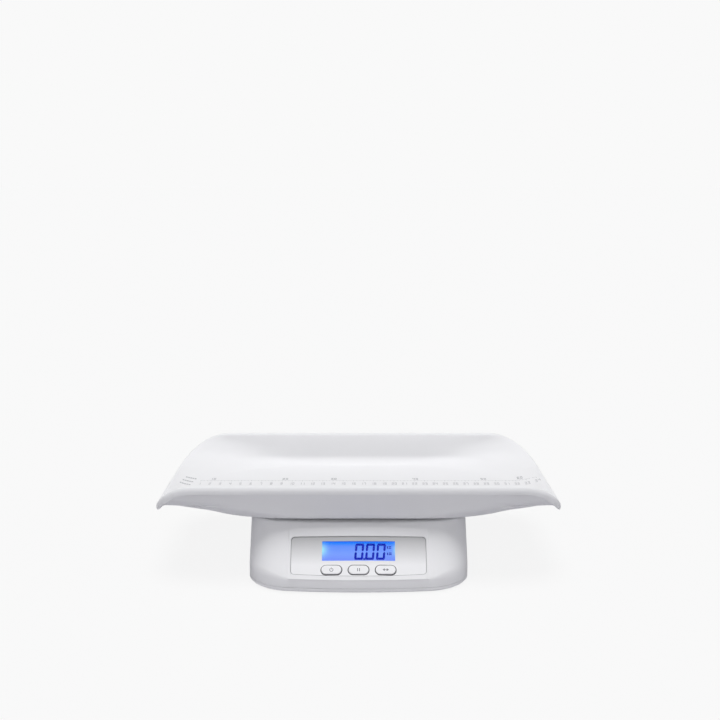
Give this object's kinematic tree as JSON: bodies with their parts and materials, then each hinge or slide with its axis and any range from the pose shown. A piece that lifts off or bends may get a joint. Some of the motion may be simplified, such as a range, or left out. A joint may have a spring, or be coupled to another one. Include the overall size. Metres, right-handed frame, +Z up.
{
  "type": "digital baby weighing scale",
  "caption": "Baby scale: a shallow cradle tray stands on a sloped-front base with a backlit display, press buttons, load cells in the feet and a battery bay below.",
  "frame": {"origin": "middle of the bounding box in plan, at the height of the surface the feet stand on", "axes": "+X to the right along the tray, the console faces -Y, +Z up"},
  "size_m": [0.55, 0.329, 0.136],
  "materials": {
    "shell_white": "satin moulded plastic",
    "fascia_silver": "satin silver-grey film",
    "window_clear": "clear moulded cover",
    "lcd_dark": "display glass",
    "backlight_blue": "lit blue light guide",
    "board_green": "solder mask",
    "chip_black": "moulded",
    "plunger_grey": "moulded",
    "button_white": "smooth moulded",
    "foot_rubber": "matt",
    "carrier_grey": "moulded",
    "cell_steel": "stamped sheet",
    "battery_can": "plain printed can",
    "screw_steel": "zinc plated",
    "contact_nickel": "nickel plated strip"
  },
  "bodies": {
    "base": {"upper_case": "shell_white", "lower_case": "shell_white", "fascia_panel": "fascia_silver", "display_window": "window_clear", "lcd_glass": "lcd_dark", "lcd_backlight": "backlight_blue", "main_board": "board_green", "controller_chip": "chip_black", "tact_switch_power": "chip_black", "tact_switch_hold": "chip_black", "tact_switch_unit": "chip_black", "rubber_foot_front_left": "foot_rubber", "rubber_foot_front_right": "foot_rubber", "rubber_foot_rear_left": "foot_rubber", "rubber_foot_rear_right": "foot_rubber", "foot_carrier_front_left": "carrier_grey", "foot_carrier_front_right": "carrier_grey", "foot_carrier_rear_left": "carrier_grey", "foot_carrier_rear_right": "carrier_grey", "load_cell_front_left": "cell_steel", "load_cell_front_right": "cell_steel", "load_cell_rear_left": "cell_steel", "load_cell_rear_right": "cell_steel", "aaa_cell_1": "battery_can", "aaa_cell_2": "battery_can", "aaa_cell_3": "battery_can", "aaa_cell_4": "battery_can", "case_screws": "screw_steel", "battery_contacts_right": "contact_nickel", "battery_contacts_left": "contact_nickel"},
    "tray": {"tray": "shell_white"},
    "battery_door": {"battery_door": "shell_white"},
    "button_power": {"button_power": "button_white", "switch_plunger_power": "plunger_grey"},
    "button_hold": {"button_hold": "button_white", "switch_plunger_hold": "plunger_grey"},
    "button_unit": {"button_unit": "button_white", "switch_plunger_unit": "plunger_grey"}
  },
  "joints": [
    {"name": "tray_lift", "type": "slide", "parent": "base", "child": "tray", "axis": [0, 0, 1], "range_m": [0, 0.12]},
    {"name": "button_power_press", "type": "slide", "parent": "base", "child": "button_power", "axis": [0, 0.7986, -0.6018], "range_m": [0, 0.0005], "stiffness_N_per_m": 1500},
    {"name": "button_hold_press", "type": "slide", "parent": "base", "child": "button_hold", "axis": [0, 0.7986, -0.6018], "range_m": [0, 0.0005], "stiffness_N_per_m": 1500},
    {"name": "button_unit_press", "type": "slide", "parent": "base", "child": "button_unit", "axis": [0, 0.7986, -0.6018], "range_m": [0, 0.0005], "stiffness_N_per_m": 1500},
    {"name": "battery_door_hinge", "type": "hinge", "parent": "base", "child": "battery_door", "pos_m": [0, 0.0305, 0.0047], "axis": [1, 0, 0], "range_deg": [0, 90]}
  ]
}
